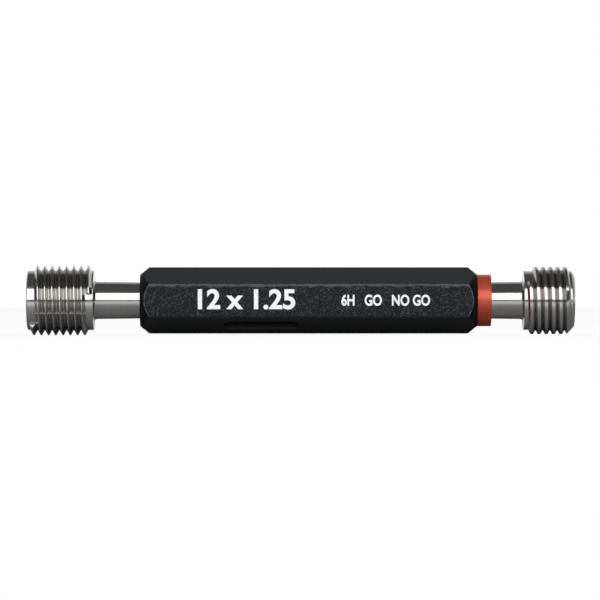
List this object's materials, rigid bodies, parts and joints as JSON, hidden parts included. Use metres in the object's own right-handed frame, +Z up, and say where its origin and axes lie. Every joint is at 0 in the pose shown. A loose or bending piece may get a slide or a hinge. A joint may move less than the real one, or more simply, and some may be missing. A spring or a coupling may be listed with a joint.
{
  "type": "thread plug gauge",
  "caption": "Double-ended thread plug gauge: hexagonal black handle with a long GO threaded head at one end and a short NO-GO head behind a red marker ring at the other.",
  "frame": {"origin": "on the gauge's axis, at the middle of its whole length", "axes": "+X along the axis from the GO end towards the NO-GO end, -Y out of the handle flat that carries the marking, +Z up"},
  "size_m": [0.0942, 0.012, 0.012],
  "materials": {
    "black_handle": "black anodised, fine-grained",
    "gauge_steel": "hardened and ground",
    "red_ring": "semi-gloss red"
  },
  "bodies": {
    "root": {"handle": "black_handle", "go_member": "gauge_steel", "no_go_member": "gauge_steel", "marker_ring": "red_ring"}
  },
  "joints": []
}
